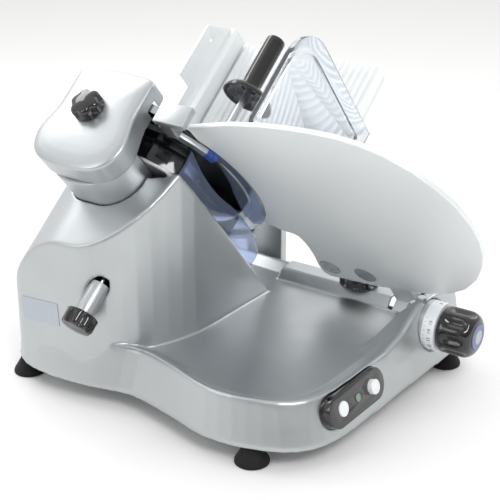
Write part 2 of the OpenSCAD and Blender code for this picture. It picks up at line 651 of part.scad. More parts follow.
// Sharpener over the top of the blade
cap_mid = 48;
cap_wall = 3.5;
cap_steps = 3;
neck_radius = 58;
half_shares = [[0, -0.44], [0.45, -0.42], [0.82, -0.36], [0.865, -0.05], [0.87, 0.45], [0.95, 0.78], [1, 1.08],
    [0.9, 1.38], [0.68, 1.57], [0.35, 1.65], [0, 1.66]];
cap_curve = closed_curve([for (q = concat(half_shares, [for (i = [len(half_shares) - 2:-1:1])
    [-half_shares[i][0], half_shares[i][1]]])) q * cap_half], cap_steps);
function cap_outline(d) = [for (q = cap_curve) q - d / cap_half * (q - [0, cap_mid])];
module neck_outline(d) polygon(round_box(-neck_half + d, neck_half - d, -neck_back + d, -neck_front - d,
    [over, over, neck_radius, neck_radius]));
cap_top = blade_r + cap_rise;
cap_low = cap_top - skirt_h;
crown_t = 5;
crown_shares = [[0, 0], [0.25, 0.03], [0.5, 0.1], [0.75, 0.24], [0.9, 0.4], [1, 0.58]];
crown_h = 7;
module cap_solid(d) {
    levels = concat([[cap_low - (d > 0 ? over : 0), 0]], [for (c = crown_shares)
        [cap_top + c[0] * crown_h - (d > 0 ? crown_t : 0), c[1] * cap_half]]);
    rotate([-90, 0, 0]) loft([for (l = levels) for (q = cap_outline(l[1] + d)) [q[0], q[1], l[0]]],
        len(cap_curve), len(levels));
}
guide_half = 16;
guide_len = 70;
slot_h = 16;
slot_half = 10;
post_top = cap_top - 2 * crown_t;
knob_a = -38;
knob_y = 8;
knob_base = cap_top + crown_h;
stem_r = 5.5;
module sharpener_cap() color("#c9cdcf") blade_frame() difference() {
    union() {
        difference() {
            cap_solid(0);
            cap_solid(cap_wall);
            block([-big, cap_low - over, -slot_half], [big, cap_low + slot_h, slot_half]);
        }
        block([-guide_half, cap_top - crown_t - guide_len, post_a - guide_half],
            [guide_half, cap_top + crown_h / 2 - over, post_a + guide_half]);
    }
    up_from(cap_top - crown_t - guide_len - over) translate([0, -post_a, 0])
        cylinder(r = post_r + run, h = guide_len);
    up_from(cap_low) translate([knob_y, -knob_a, 0]) cylinder(r = stem_r + run, h = big / 4);
}
module sharpener_post() color("#b5b8ba") blade_frame() up_from(neck_low - neck_wall) translate([0, -post_a, 0])
    cylinder(r = post_r, h = post_top - neck_low + neck_wall);
top_knob_r = 24;
top_knob_h = 19;
stem_len = 46;
module sharpener_knob() color("#121212") blade_frame() {
    up_from(knob_base + gap) translate([knob_y, -knob_a, 0]) dimpled_knob(top_knob_r, top_knob_h, 0, 0);
    up_from(knob_base + gap - stem_len) translate([knob_y, -knob_a, 0]) cylinder(r = stem_r, h = stem_len + over);
}
stone_r = 21;
stone_t = 8;
stone_drop = 7;
stone_u = blade_r - stone_drop;
stone_y = 30;
stone_g = 16;
stone_shaft_r = 4;
stone_shaft_len = 15;
module stone(y, g) blade_frame() translate([y, stone_u, g]) tube(stone_r, stone_shaft_r + run, stone_t);
module grinding_stone() color("#8c4a3c") stone(-stone_y, -stone_g - stone_t);
module deburring_stone() color("#5a6b78") blade_frame() translate([stone_y, stone_u, stone_g - over])
    tube(stone_r / 2, stone_shaft_r + run, stone_t);
shaft_post = 7;
module crown_room() {
    cap_solid(cap_wall + seat);
    block([-big, cap_low - big, -big], [big, cap_low, big]);
}
module stone_shafts() color("#b9bcbe") blade_frame() intersection() {
    crown_room();
    stone_brackets();
}
module stone_brackets() {
    translate([-stone_y, stone_u, -stone_g - stone_t - stone_shaft_len]) cylinder(r = stone_shaft_r,
        h = stone_t + stone_shaft_len);
    block([-stone_y - shaft_post, stone_u - shaft_post, -stone_g - stone_t - stone_shaft_len],
        [-stone_y + shaft_post, cap_top + crown_h, -stone_g - stone_t - gap]);
    translate([stone_y, stone_u, stone_g - over]) cylinder(r = stone_shaft_r, h = stone_t + over);
    block([stone_y - shaft_post, stone_u - shaft_post, stone_g + stone_t - over + gap],
        [stone_y + shaft_post, cap_top + crown_h, stone_g + stone_t + shaft_post]);
}
neck_wall = 6;
module sharpener_neck() color("#bfc3c5") blade_frame() difference() {
    up_from(neck_low + seat) linear_extrude(cap_low - neck_low - seat - gap) neck_outline(0);
    up_from(neck_low + neck_wall) linear_extrude(big / 4) neck_outline(neck_wall);
    up_from(neck_low - over) translate([0, -post_a, 0]) cylinder(r = post_r + run, h = big / 4);
}

// Carriage: a block on the round bar inside the base carries the arm and the sloping tray
bush_r = 15;
bush_len = 20;
block_x0 = bar_x - bar_d;
block_x1 = bar_x + bush_r + 2 * over;
block_z0 = 44;
block_z1 = 78;
block_y0 = -62;
block_y1 = 30;
rail_x0 = bar_x - 2 * bar_d;
rail_x1 = rail_x0 + bush_r;
rail_t = 8;
rail_z = plate_top;
roller_r = 9;
roller_pin_r = 3;
roller_y = -25;
module y_bar(r, y0, y1) translate([bar_x, y1, bar_z]) rotate([90, 0, 0]) cylinder(r = r, h = y1 - y0);
module guide_bar() color("#d8dbdd") base_frame() y_bar(bar_d / 2, bar_y0, bar_y1);
module lower_rail() color("#c2c5c7") base_frame() block([rail_x0, bar_y0, rail_z], [rail_x1, bar_y1, rail_z + rail_t]);
module carriage_block() color("#8d9194") base_frame() difference() {
    union() {
        block([block_x0, block_y0, block_z0], [block_x1, block_y1, block_z1]);
        translate([rail_x0, roller_y, rail_z + rail_t + roller_r + gap]) rotate([0, 90, 0])
            cylinder(r = roller_pin_r, h = block_x0 - rail_x0);
    }
    y_bar(bar_d / 2 + over, block_y0 - over, block_y1 + over);
    y_bar(bush_r, block_y0 - over, block_y0 + bush_len);
    y_bar(bush_r, block_y1 - bush_len, block_y1 + over);
}
module carriage_bushes() color("#b08d4f") base_frame() for (y = [block_y0, block_y1 - bush_len]) difference() {
    y_bar(bush_r, y, y + bush_len);
    y_bar(bar_d / 2 + run, y - over, y + bush_len + over);
}
module carriage_roller() color("#3a3c3e") base_frame()
    translate([rail_x0 + over, roller_y, rail_z + rail_t + roller_r + gap]) rotate([0, 90, 0])
        tube(roller_r, roller_pin_r + run, rail_x1 - rail_x0 - 2 * over);
arm_y0 = -62;
arm_y1 = 12;
arm_x0 = 236;
arm_x1 = 252;
arm_z0 = 54;
arm_z1 = 76;
arm_high = 400;
pad_y0 = -120;
pad_y1 = 60;
pad_a0 = 150;
pad_a1 = 300;
pad_t = 10;
tray_t = 8;
rib_h = 4;
tray_under = -tray_drop - rib_h - tray_t;
module carriage_arm() color("#b4b8ba") {
    difference() {
        base_frame() block([arm_x0, arm_y0, arm_z0], [arm_x1, arm_y1, arm_high]);
        blade_frame() block([-big, tray_under - seat, -big], [big, big, big]);
    }
    base_frame() block([block_x1, arm_y0, arm_z0], [arm_x0, arm_y1, arm_z1]);
    difference() {
        blade_frame() block([pad_y0, tray_under - pad_t, pad_a0], [pad_y1, tray_under - seat, pad_a1]);
        base_frame() block([arm_x0, arm_y0, arm_z0], [arm_x1, arm_y1, arm_high]);
    }
}
tray_y0 = -203;
tray_y1 = tray_y0 + tray_w;
tray_a0 = 15;
tray_a1 = tray_a0 + tray_len;
tray_corner = 24;
rib_margin = 14;
rib_shares = [[0.85, 0], [0.65, 1], [0.35, 1], [0.15, 0]];
rib_count = floor((tray_w - 2 * rib_margin) / rib_pitch);
function tray_section() = concat([[tray_y1, tray_under], [tray_y1, -tray_drop - rib_h]],
    [for (i = [0:rib_count - 1]) for (q = rib_shares)
        [tray_y1 - rib_margin - (i + 1 - q[0]) * rib_pitch, -tray_drop - rib_h * (1 - q[1])]],
    [[tray_y0, -tray_drop - rib_h], [tray_y0, tray_under]]);
module product_tray() color("#c6cacc") blade_frame() intersection() {
    translate([0, 0, tray_a0]) linear_extrude(tray_len) polygon(tray_section());
    up_from(tray_under - over) linear_extrude(tray_t + rib_h + 2 * over)
        polygon(round_box(tray_y0, tray_y1, -tray_a1, -tray_a0, [tray_corner, over, over, over]));
}
fence_t = 4;
fence_top = -63;
tab_top = -29;
tab_a0 = 194;
tab_a1 = 300;
tab_end = 338;
rail_w = 14;
rail_top = -84;
rail_bevel = 6;
module tray_fence() color("#aeb2b4") blade_frame() {
    along_y(tray_y1 + seat) linear_extrude(fence_t) difference() {
        polygon([[-tray_a0, tray_under], [-tray_a0, fence_top], [-tab_a0, fence_top], [-tab_a0, tab_top],
            [-tab_a1, tab_top], [-tab_end, rail_top], [-tray_a1, tray_under]]);
        translate([-tab_a1 + tray_corner / 2, tab_top - tray_corner]) circle(r = bolt_r);
    }
    translate([0, 0, tray_a0]) linear_extrude(tab_end - tray_a0) polygon([[tray_y1 + seat, -tray_drop],
        [tray_y1 - rail_w, -tray_drop], [tray_y1 - rail_w, rail_top - rail_bevel],
        [tray_y1 - rail_w + rail_bevel, rail_top], [tray_y1 + seat, rail_top]]);
}
guard_y = -221;
guard_t = 8;
guard_sheet = 2;
guard_a0 = 20;
guard_a1 = 214;
guard_u0 = -138;
guard_u1 = 153;
guard_rim = 27;
guard_round = 72;
guard_bolt_as = [60, 176];
guard_bolt_u = -128;
guard_bolt_r = 3;
spacer_r = 3.8;
module hand_guard() color("#d7dde6", 0.4) blade_frame() difference() {
    along_y(guard_y) linear_extrude(guard_t) polygon(round_box(-guard_a1, -guard_a0, guard_u0, guard_u1,
        [over, over, guard_rim / 2, guard_round]));
    along_y(guard_y - over) linear_extrude(guard_t - guard_sheet + over) polygon(round_box(-guard_a1 + guard_rim,
        -guard_a0 - guard_rim / 2, guard_u0 + guard_rim, guard_u1 - guard_rim / 2,
        [guard_t, guard_t, guard_t, guard_round - guard_rim / 2]));
    for (a = guard_bolt_as) translate([guard_y - over, guard_bolt_u, a]) rotate([0, 90, 0])
        cylinder(r = guard_bolt_r + seat, h = guard_t + 2 * over);
}
module guard_screws() color("#1a1a1a") blade_frame() for (a = guard_bolt_as) translate([0, guard_bolt_u, a])
    rotate([0, 90, 0]) {
        translate([0, 0, guard_y - guard_bolt_r]) cylinder(r = 2 * guard_bolt_r, h = guard_bolt_r - seat);
        translate([0, 0, guard_y - guard_bolt_r]) cylinder(r = guard_bolt_r, h = tray_y0 - guard_y + guard_bolt_r - seat);
        translate([0, 0, guard_y + guard_t + seat]) cylinder(r = spacer_r, h = tray_y0 - guard_y - guard_t - 2 * seat);
    }

// Product pusher: a slider on the fence's rail, and a swinging arm with the plate and the handle
slider_a0 = 70;
slider_a1 = 88;
slider_y0 = 72;
slider_top = -66;
rest_top = -60.4;
pivot_y = 88;
pivot_u = -52;
pivot_r = 4;
arm_eye = 9;
arm_beam = 7;
arm_w = 8;
push_y = -38;
push_u = -38;
push_r = 6;
plate_a = 62;
push_plate_t = 8;
push_half = 62;
push_u0 = -112;
push_u1 = 8;
spike_r = 3;
spike_len = 9;
spike_pitch = 37;
handle_a = 197;
dome_a = 176;
dome_t = 2.5;
module pusher_slider() color("#9fa3a6") blade_frame() difference() {
    union() {
        block([slider_y0, -tray_drop + over, slider_a0], [tray_y1 - gap, slider_top, slider_a1]);
        block([pivot_y - pivot_r, slider_top - over, slider_a0], [pivot_y + pivot_r, pivot_u, slider_a1]);
        translate([pivot_y, pivot_u, slider_a0]) cylinder(r = 2 * pivot_r, h = slider_a1 - slider_a0);
        block([slider_y0, slider_top - arm_eye, slider_a1 - over],
            [slider_y0 + arm_w, rest_top, slider_a1 + arm_w]);
        translate([pivot_y, pivot_u, slider_a0]) cylinder(r = pivot_r, h = slider_a1 - slider_a0 + arm_w + 2 * gap);
    }
    block([tray_y1 - rail_w - gap, -big, -big], [big, rail_top + gap, big]);
}
module pusher_arm() color("#cfd3d5") blade_frame() difference() {
    union() {
        translate([0, 0, slider_a1 + gap]) linear_extrude(arm_w) {
            translate([pivot_y, pivot_u]) circle(r = arm_eye);
            translate([push_y, push_u]) circle(r = arm_eye);
            polygon([[push_y, push_u - arm_beam], [pivot_y, pivot_u - arm_beam], [pivot_y, pivot_u + arm_beam],
                [push_y, push_u + arm_beam]]);
        }
        translate([push_y, push_u, plate_a + push_plate_t]) cylinder(r = push_r,
            h = handle_a - plate_a - push_plate_t + arm_eye);
    }
    translate([pivot_y, pivot_u, slider_a1 + gap - over]) cylinder(r = pivot_r + run, h = arm_w + 2 * over);
}
module pusher_plate() color("#c3c7c9") blade_frame() {
    translate([0, 0, plate_a]) linear_extrude(push_plate_t)
        polygon(round_box(push_y - push_half, push_y + push_half, push_u0, push_u1, [arm_eye, arm_eye, arm_eye, arm_eye]));
    for (i = [-1:1]) for (k = [-1:1]) translate([push_y + i * spike_pitch,
        (push_u0 + push_u1) / 2 + k * spike_pitch, plate_a - spike_len])
        cylinder(r1 = over / 2, r2 = spike_r, h = spike_len + over / 2);
}
flutes = 12;
flute_r = 1.6;
module pusher_handle() color("#0f0f0f") blade_frame() translate([push_y, push_u, handle_a]) difference() {
    rotate_extrude() polygon(concat([[0, 0], [handle_d / 2, 0]],
        arc_pts([handle_d / 2 - wall, handle_len - wall], wall, 0, 90, 5), [[0, handle_len]]));
    translate([0, 0, -over]) cylinder(r = push_r, h = arm_eye + over);
    for (i = [0:flutes - 1]) rotate(360 * i / flutes) translate([handle_d / 2 + over / 2, 0, 2 * wall])
        cylinder(r = flute_r, h = handle_len - 4 * wall);
}
module pusher_dome() color("#3a3a3c", 0.6) blade_frame() translate([push_y, push_u, dome_a]) rotate_extrude()
    polygon(concat(
        [for (q = arc_pts([0, 0], 1, 0, 90, 6)) [push_r + (dome_d / 2 - push_r) * q[0], (handle_a - dome_a) * q[1]]],
        [for (q = arc_pts([0, 0], 1, 90, 0, 6)) [push_r + (dome_d / 2 - push_r - dome_t) * q[0],
            (handle_a - dome_a - dome_t) * q[1]]]));
lock_r = 32;
lock_h = 17;
lock_z = ridge_top + gap;
lock_stem = 24;
module lock_knob() color("#0e0e0e") base_frame() translate([lock_x, lock_y, lock_z]) {
    dimpled_knob(lock_r, lock_h, 0, 0);
    translate([0, 0, -lock_stem]) cylinder(r = lock_stem_r, h = lock_stem + over);
}

base_casting();
bottom_plate();
feet();
foot_screws();
switch_panel();
start_button();
stop_button();
pilot_lamp();
switch_block();
control_board();
dial_boss();
scale_ring();
dial_knob();
dial_cap();
dial_spindle();
scroll_cam();
gauge_plate();
plate_plugs();
plate_support();
plate_guide_bars();
blade();
blade_hub();
driven_pulley();
shaft_bearings();
bearing_housing();
blade_collar();
motor_body();
motor_shaft();
motor_pulley();
drive_belt();
tie_rod();
tie_rod_sleeve();
tie_rod_knob();
blade_cover();
ring_guard();
ring_bracket();
slice_deflector();
sharpener_cap();
sharpener_neck();
sharpener_post();
sharpener_knob();
grinding_stone();
deburring_stone();
stone_shafts();
guide_bar();
lower_rail();
carriage_block();
carriage_bushes();
carriage_roller();
carriage_arm();
product_tray();
tray_fence();
hand_guard();
guard_screws();
pusher_slider();
pusher_arm();
pusher_plate();
pusher_handle();
pusher_dome();
lock_knob();
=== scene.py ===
import json
import math

import bmesh
import bpy
from mathutils import Matrix, Vector

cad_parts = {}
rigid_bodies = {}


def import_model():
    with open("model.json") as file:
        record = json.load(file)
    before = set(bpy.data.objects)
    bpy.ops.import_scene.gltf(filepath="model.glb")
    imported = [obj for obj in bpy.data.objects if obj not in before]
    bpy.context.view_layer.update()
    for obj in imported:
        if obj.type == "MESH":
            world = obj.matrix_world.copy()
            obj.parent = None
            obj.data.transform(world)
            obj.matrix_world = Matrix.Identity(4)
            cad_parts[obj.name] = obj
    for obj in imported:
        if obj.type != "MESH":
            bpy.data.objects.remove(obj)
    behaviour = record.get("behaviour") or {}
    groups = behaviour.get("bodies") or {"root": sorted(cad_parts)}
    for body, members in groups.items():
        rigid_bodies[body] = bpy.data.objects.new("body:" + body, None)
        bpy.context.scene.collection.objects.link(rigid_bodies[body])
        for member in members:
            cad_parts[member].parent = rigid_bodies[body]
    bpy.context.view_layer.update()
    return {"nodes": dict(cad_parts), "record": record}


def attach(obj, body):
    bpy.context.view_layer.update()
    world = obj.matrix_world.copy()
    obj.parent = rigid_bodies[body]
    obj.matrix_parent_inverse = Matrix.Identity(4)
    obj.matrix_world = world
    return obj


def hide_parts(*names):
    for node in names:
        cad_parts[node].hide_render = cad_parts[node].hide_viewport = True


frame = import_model()
nodes = frame["nodes"]
sceneItems = bpy.context.scene.collection.objects
print("frame loaded:", len(nodes), "nodes")

# Sizes and places are in millimetres, the same as in the part's CAD source
perMetre = 1000
machine = {"bladeX": -27.5, "bladeY": 177.7, "bladeHeight": 302.5, "tiltDeg": 40}
tilt = math.radians(machine["tiltDeg"])
alongAxis = Vector((math.cos(tilt), 0, math.sin(tilt)))
upBlade = Vector((-math.sin(tilt), 0, math.cos(tilt)))
bladeCentre = Vector((machine["bladeX"], machine["bladeY"], machine["bladeHeight"]))
rightward = Vector((1, 0, 0))
towardsUser = Vector((0, -1, 0))
upward = Vector((0, 0, 1))


# Point of the base, measured from under the blade's centre
def basePoint(x, y, z):
    return Vector((x + machine["bladeX"], y + machine["bladeY"], z)) / perMetre


# Point of the blade's frame: across is along Y, up is in the blade's plane, out is along its axis
def bladePoint(across, up, out):
    return (bladeCentre + Vector((0, across, 0)) + upBlade * up + alongAxis * out) / perMetre


# Frame with its own z along axis and its x as near as it can be to side
def frameAt(origin, axis, side):
    zAxis = axis.normalized()
    yAxis = zAxis.cross(side).normalized()
    xAxis = yAxis.cross(zAxis)
    return Matrix.Translation(origin) @ Matrix((xAxis, yAxis, zAxis)).transposed().to_4x4()


# Share from 0 at start to 1 at end, with soft ends
def ramp(value, start, end):
    share = max(0, min(1, (value - start) / (end - start)))
    return share * share * (3 - 2 * share)


# Linear colour of an sRGB hex value
def fromHex(value):
    channels = [int(value[i:i + 2], 16) / 255 for i in (1, 3, 5)]
    linear = [c / 12.92 if c <= 0.04045 else ((c + 0.055) / 1.055) ** 2.4 for c in channels]
    return (*linear, 1)


# Node with its settings, which are sockets or properties, and its links by socket name
def addNode(tree, kind, settings=None, links=None):
    node = tree.nodes.new(kind)
    for name, value in (settings or {}).items():
        if name in node.inputs:
            node.inputs[name].default_value = value
        else:
            setattr(node, name, value)
    for name, source in (links or {}).items():
        tree.links.new(source, node.inputs[name])
    return node


# How fine the two noises are, and the levels of the cloud that give the lowest and highest roughness
noise = {"grainDetail": 4, "cloudDetail": 2, "low": 0.3, "high": 0.7}
# The mix node's colour sockets share their names with others, so they go by number
mixSocket = {"first": 6, "second": 7, "result": 2}


# A material with its constants on the shader's own sockets, and a grain of a real size in millimetres.
# A slow cloud varies the roughness, and the colour too where the look has a shade.
def makeMaterial(name, look):
    material = bpy.data.materials.new(name)
    material.use_nodes = True
    tree = material.node_tree
    shader = tree.nodes["Principled BSDF"]
    shader.inputs["Base Color"].default_value = fromHex(look["colour"])
    for socket, value in look.get("sockets", {}).items():
        shader.inputs[socket].default_value = value
    coords = addNode(tree, "ShaderNodeTexCoord")
    stretch = look.get("stretch", (1, 1, 1))
    place = addNode(tree, "ShaderNodeMapping", {"Scale": stretch}, {"Vector": coords.outputs["Object"]})
    grain = addNode(tree, "ShaderNodeTexNoise",
                    {"Scale": perMetre / look["grainMm"], "Detail": noise["grainDetail"]},
                    {"Vector": place.outputs["Vector"]})
    cloud = addNode(tree, "ShaderNodeTexNoise",
                    {"Scale": perMetre / look["cloudMm"], "Detail": noise["cloudDetail"]},
                    {"Vector": coords.outputs["Object"]})
    low, high = look["roughness"]
    spread = addNode(tree, "ShaderNodeMapRange",
                     {"From Min": noise["low"], "From Max": noise["high"], "To Min": low, "To Max": high},
                     {"Value": cloud.outputs["Fac"]})
    tree.links.new(spread.outputs["Result"], shader.inputs["Roughness"])
    bump = addNode(tree, "ShaderNodeBump",
                   {"Strength": look["relief"], "Distance": look["depthMm"] / perMetre},
                   {"Height": grain.outputs["Fac"]})
    tree.links.new(bump.outputs["Normal"], shader.inputs["Normal"])
    if "shade" in look:
        tint = addNode(tree, "ShaderNodeMix", {"data_type": "RGBA"}, {"Factor": spread.outputs["Result"]})
        tint.inputs[mixSocket["first"]].default_value = fromHex(look["colour"])
        tint.inputs[mixSocket["second"]].default_value = fromHex(look["shade"])
        tree.links.new(tint.outputs[mixSocket["result"]], shader.inputs["Base Color"])
    return material


metal = {"Metallic": 1.0}
finishes = {
    # Cast aluminium, belt ground and blasted: soft wide highlights, a little cloudy
    "satinCasting": {"colour": "#C2C6C8", "shade": "#B2B6B8", "roughness": (0.32, 0.42), "grainMm": 0.9,
                     "cloudMm": 90, "relief": 0.10, "depthMm": 0.05, "sockets": {"Metallic": 0.9}},
    # Rolled and anodised aluminium plate: its film scatters light, so it is pale and hardly mirrors
    "anodisedPlate": {"colour": "#F0F3F4", "shade": "#E6EAEB", "roughness": (0.40, 0.48), "grainMm": 1.2,
                      "cloudMm": 120, "relief": 0.06, "depthMm": 0.04, "stretch": (1, 0.06, 1),
                      "sockets": {"Metallic": 0.3}},
    # Tool steel, ground all over: near a mirror
    "groundBladeSteel": {"colour": "#D9DCDE", "roughness": (0.10, 0.16), "grainMm": 0.8, "cloudMm": 40,
                         "relief": 0.05, "depthMm": 0.02, "sockets": metal},
    # Stainless bar and sheet, brushed: clear highlights with a slight blur
    "brushedStainless": {"colour": "#C9CCCF", "roughness": (0.18, 0.28), "grainMm": 0.8, "cloudMm": 25,
                         "relief": 0.10, "depthMm": 0.03, "sockets": metal},
    # Phenolic moulding, polished: deep black with sharp highlights
    "polishedPhenolic": {"colour": "#0C0C0D", "roughness": (0.08, 0.14), "grainMm": 3, "cloudMm": 12,
                         "relief": 0.04, "depthMm": 0.03,
                         "sockets": {"IOR": 1.6, "Coat Weight": 0.4, "Coat Roughness": 0.04}},
    # Black moulded polyamide: satin
    "mouldedPolyamide": {"colour": "#17181A", "roughness": (0.30, 0.42), "grainMm": 0.7, "cloudMm": 10,
                         "relief": 0.15, "depthMm": 0.04, "sockets": {"IOR": 1.53}},
    # Glossy black on the collar behind the blade is painted shade: it stands for the dark gap between
    # housing and blade, in shadow, that the polished blade mirrors
    "collarPaintedShade": {"colour": "#0E1012", "roughness": (0.06, 0.12), "grainMm": 4, "cloudMm": 30,
                    "relief": 0.04, "depthMm": 0.04,
                    "sockets": {"IOR": 1.52, "Coat Weight": 0.5, "Coat Roughness": 0.03}},
    # Moulded rubber feet: matt black, with a weak highlight
    "mouldedRubber": {"colour": "#151515", "roughness": (0.55, 0.75), "grainMm": 0.8, "cloudMm": 9,
                      "relief": 0.3, "depthMm": 0.08, "sockets": {"IOR": 1.52, "Specular IOR Level": 0.3}},
    # White ABS buttons and dial ring: smooth gloss
    "whiteAbs": {"colour": "#EEF1F4", "roughness": (0.22, 0.3), "grainMm": 1, "cloudMm": 10,
                 "relief": 0.05, "depthMm": 0.03,
                 "sockets": {"IOR": 1.54, "Subsurface Weight": 0.1, "Subsurface Scale": 0.002}},
    # Grey ABS cap: satin moulding with a blue cast
    "greyAbs": {"colour": "#6F799C", "roughness": (0.3, 0.4), "grainMm": 0.8, "cloudMm": 10,
                "relief": 0.1, "depthMm": 0.03, "sockets": {"IOR": 1.54}},
    # Printing ink on the dial and the buttons: near black and dull
    "printedInk": {"colour": "#1B1E26", "roughness": (0.45, 0.55), "grainMm": 0.6, "cloudMm": 6,
                   "relief": 0.05, "depthMm": 0.01, "sockets": {"IOR": 1.5}},
    # Clear polycarbonate sheet: bright edges and a slight tint
    "clearPolycarbonate": {"colour": "#EEF2F8", "roughness": (0.03, 0.06), "grainMm": 6, "cloudMm": 50,
                           "relief": 0.02, "depthMm": 0.02,
                           "sockets": {"IOR": 1.45, "Transmission Weight": 0.96}},
    # Clear strip with a blue tint, moulded: darkens and blues what is behind it
    "blueClearStrip": {"colour": "#B4C2E6", "roughness": (0.05, 0.1), "grainMm": 5, "cloudMm": 30,
                       "relief": 0.05, "depthMm": 0.05,
                       "sockets": {"IOR": 1.45, "Transmission Weight": 0.85}},
    # Smoked polycarbonate dome: dark, with sharp highlights, and half clear at its rim
    "smokedPolycarbonate": {"colour": "#4A4A50", "roughness": (0.04, 0.08), "grainMm": 6, "cloudMm": 20,
                            "relief": 0.02, "depthMm": 0.02,
                            "sockets": {"IOR": 1.5, "Transmission Weight": 0.85}},
    # Blue moulded nylon end stop: a plain satin spot of colour
    "blueNylon": {"colour": "#2F4E9A", "roughness": (0.25, 0.35), "grainMm": 1, "cloudMm": 8,
                  "relief": 0.1, "depthMm": 0.03, "sockets": {"IOR": 1.53}},
    # Lacquered aluminium badge, left blank: flat and pale
    "badgeSheet": {"colour": "#B4BAC2", "roughness": (0.3, 0.36), "grainMm": 0.8, "cloudMm": 30,
                   "relief": 0.04, "depthMm": 0.02, "sockets": {"Metallic": 0.6}},
    # Green moulded lens, unlit: a dull green with a glossy face
    "greenLens": {"colour": "#6E8A78", "roughness": (0.1, 0.16), "grainMm": 1.5, "cloudMm": 8,
                  "relief": 0.1, "depthMm": 0.05, "sockets": {"IOR": 1.5, "Coat Weight": 0.5}},
    # Bonded grit: coarse and dull
    "bondedGrit": {"colour": "#8A4B3D", "shade": "#6C382C", "roughness": (0.75, 0.9), "grainMm": 0.6,
                   "cloudMm": 5, "relief": 0.6, "depthMm": 0.15, "sockets": {"IOR": 1.5}},
    # Turned bronze bushes: warm metal with soft highlights
    "turnedBronze": {"colour": "#B08D4F", "roughness": (0.25, 0.35), "grainMm": 0.6, "cloudMm": 10,
                     "relief": 0.1, "depthMm": 0.03, "sockets": metal},
    # Ribbed rubber belt: matt and almost black
    "ribbedBelt": {"colour": "#1A1A1B", "roughness": (0.6, 0.75), "grainMm": 1, "cloudMm": 8,
                   "relief": 0.3, "depthMm": 0.1, "sockets": {"IOR": 1.52}},
    # Sprayed grey paint on the motor and inner metal: even, half gloss
    "motorPaint": {"colour": "#565B60", "roughness": (0.35, 0.45), "grainMm": 1.2, "cloudMm": 20,
                   "relief": 0.15, "depthMm": 0.05, "sockets": {"IOR": 1.5}},
    # Green lacquer on the circuit board: smooth, half gloss
    "boardLacquer": {"colour": "#2F6A43", "roughness": (0.3, 0.4), "grainMm": 0.6, "cloudMm": 6,
                     "relief": 0.1, "depthMm": 0.03, "sockets": {"IOR": 1.5}},
}
paint = {name: makeMaterial(name, look) for name, look in finishes.items()}

# Each slot of the CAD part has a finish, and some nodes have one of their own
slotPaint = {
    "cast": "satinCasting", "plate": "anodisedPlate", "steel": "brushedStainless",
    "dark_metal": "motorPaint", "black": "polishedPhenolic", "rubber": "mouldedRubber",
    "white_plastic": "whiteAbs", "cap_grey": "greyAbs", "lamp": "greenLens", "board": "boardLacquer",
    "stone": "bondedGrit", "smoked": "smokedPolycarbonate", "clear": "clearPolycarbonate",
    "clear_blue": "blueClearStrip", "bronze": "turnedBronze", "belt": "ribbedBelt"}
# The collar behind the blade gets painted shade: glossy black for the shaded gap that the blade mirrors
ownPaint = {
    "blade": "groundBladeSteel", "blade_cover": "groundBladeSteel", "switch_panel": "polishedPhenolic",
    "switch_block": "mouldedPolyamide", "carriage_roller": "mouldedPolyamide",
    "blade_collar": "collarPaintedShade", "tie_rod_sleeve": "satinCasting", "plate_plugs": "brushedStainless",
    "ring_guard": "brushedStainless"}
record = frame["record"]
nodeSlot = {part["node"]: part["material_slot"] for part in record["subparts"]}
nodeBody = {node: body for body, members in record["behaviour"]["bodies"].items() for node in members}


def paintFor(node):
    return paint[ownPaint.get(node, slotPaint[nodeSlot[node]])]


for name, piece in nodes.items():
    piece.data.materials.clear()
    piece.data.materials.append(paintFor(name))
print("materials made:", len(paint))


def meshObject(name, mesh):
    piece = bpy.data.objects.new(name, mesh)
    sceneItems.link(piece)
    return piece


# Mesh made from what shape holds, set in its place by spot
def meshFrom(shape, name, spot=None):
    mesh = bpy.data.meshes.new(name)
    shape.to_mesh(mesh)
    shape.free()
    if spot is not None:
        mesh.transform(spot)
    return mesh


# Faces between each row of points and the next, round the whole row where it is closed
def joinRows(shape, rows, closed=True):
    for low, high in zip(rows, rows[1:]):
        count = len(low)
        for i in range(count if closed else count - 1):
            j = (i + 1) % count
            shape.faces.new((low[i], low[j], high[j], high[i]))


def evaluatedMesh(piece):
    bpy.context.view_layer.update()
    graph = bpy.context.evaluated_depsgraph_get()
    return bpy.data.meshes.new_from_object(piece.evaluated_get(graph))


# The piece gets the mesh that its modifiers give, and they go
def bake(piece):
    mesh = evaluatedMesh(piece)
    piece.modifiers.clear()
    piece.data = mesh
    return piece


# Shading, finish, body and slot of a piece made here, which belongs to node or stands in for it
def finishPiece(piece, node, replace=True, look=None, sharpDeg=35):
    piece.data.shade_smooth()
    piece.data.set_sharp_from_angle(angle=math.radians(sharpDeg))
    piece.data.materials.clear()
    piece.data.materials.append(paint[look] if look else paintFor(node))
    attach(piece, nodeBody[node])
    if replace:
        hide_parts(node)
    return piece


rounding = {
    "weldMm": 0.02, "flatDeg": 1.5, "cornerDeg": 32, "segments": 3,
    "widthMm": {
        "gauge_plate": 1.6, "product_tray": 1.0, "tray_fence": 0.8, "hand_guard": 1.2, "carriage_arm": 2.0,
        "carriage_block": 1.5, "ring_bracket": 1.2, "switch_panel": 1.6, "start_button": 1.0,
        "stop_button": 1.0, "pusher_plate": 0.8, "pusher_slider": 0.8, "blade_collar": 1.0, "feet": 0.8,
        "dial_boss": 0.8, "tie_rod_sleeve": 1.0, "blade_cover": 0.8, "plate_support": 1.0,
        "sharpener_neck": 1.5}}


